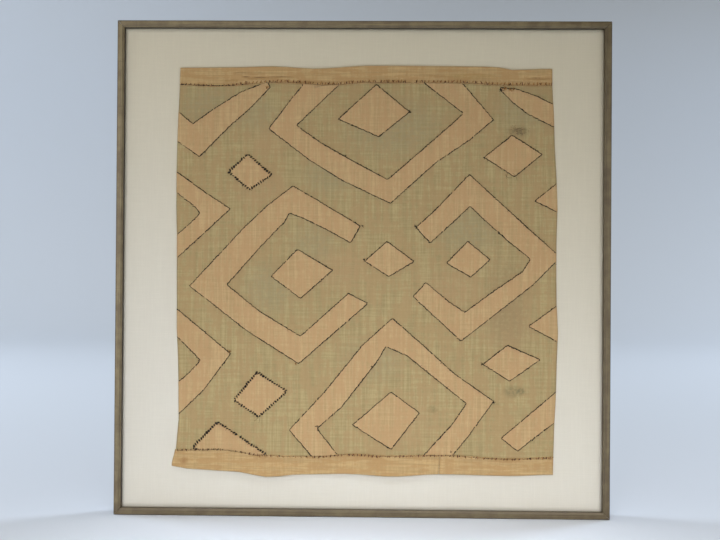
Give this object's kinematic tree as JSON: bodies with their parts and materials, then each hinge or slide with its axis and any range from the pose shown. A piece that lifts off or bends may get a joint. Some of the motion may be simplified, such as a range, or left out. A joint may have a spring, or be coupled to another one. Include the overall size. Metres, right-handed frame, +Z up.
{
  "type": "framed kuba raffia cloth",
  "caption": "Cut-and-sewn raffia cloth with patched bands and diamonds, laid on a linen-covered board in a slim mitred frame.",
  "frame": {"origin": "middle of the foot print, on the surface that the frame stands on", "axes": "+Z up; +X to the right of someone who faces the front; +Y from the front to the back, so the front looks along -Y"},
  "size_m": [0.924, 0.045, 0.926],
  "materials": {
    "frame_leaf": "champagne metal leaf over wood, satin, rubbed at the edges",
    "board": "bare fibreboard",
    "linen": "plain-woven off-white linen, lightly foxed",
    "raffia_ground": "plain-woven raffia, dyed green-tan, streaked and worn",
    "raffia_border": "plain-woven raffia, undyed tan",
    "raffia_patch": "plain-woven raffia, undyed tan, edges turned under and overcast in dark thread",
    "sewing_thread": "raffia thread, dyed brown-black"
  },
  "bodies": {
    "root": {"frame_rail_bottom": "frame_leaf", "frame_rail_left": "frame_leaf", "frame_rail_top": "frame_leaf", "frame_rail_right": "frame_leaf", "linen_cover": "linen", "mount_board": "board", "raffia_panel": "raffia_ground", "border_top": "raffia_border", "border_lower_left": "raffia_border", "border_lower_right": "raffia_border", "patch_corner_band_upper": "raffia_patch", "patch_chevron_left_upper": "raffia_patch", "patch_chevron_left_lower": "raffia_patch", "patch_top_band": "raffia_patch", "patch_corner_band_right": "raffia_patch", "patch_left_band": "raffia_patch", "patch_right_band": "raffia_patch", "patch_lower_band": "raffia_patch", "patch_corner_band_lower": "raffia_patch", "patch_diamond_upper_left": "raffia_patch", "patch_diamond_top": "raffia_patch", "patch_diamond_upper_right": "raffia_patch", "patch_diamond_left": "raffia_patch", "patch_diamond_centre": "raffia_patch", "patch_diamond_right": "raffia_patch", "patch_diamond_lower_right": "raffia_patch", "patch_diamond_lower": "raffia_patch", "patch_diamond_lower_left": "raffia_patch", "patch_half_diamond_foot": "raffia_patch", "patch_half_diamond_right_upper": "raffia_patch", "patch_half_diamond_right_lower": "raffia_patch"}
  },
  "joints": []
}
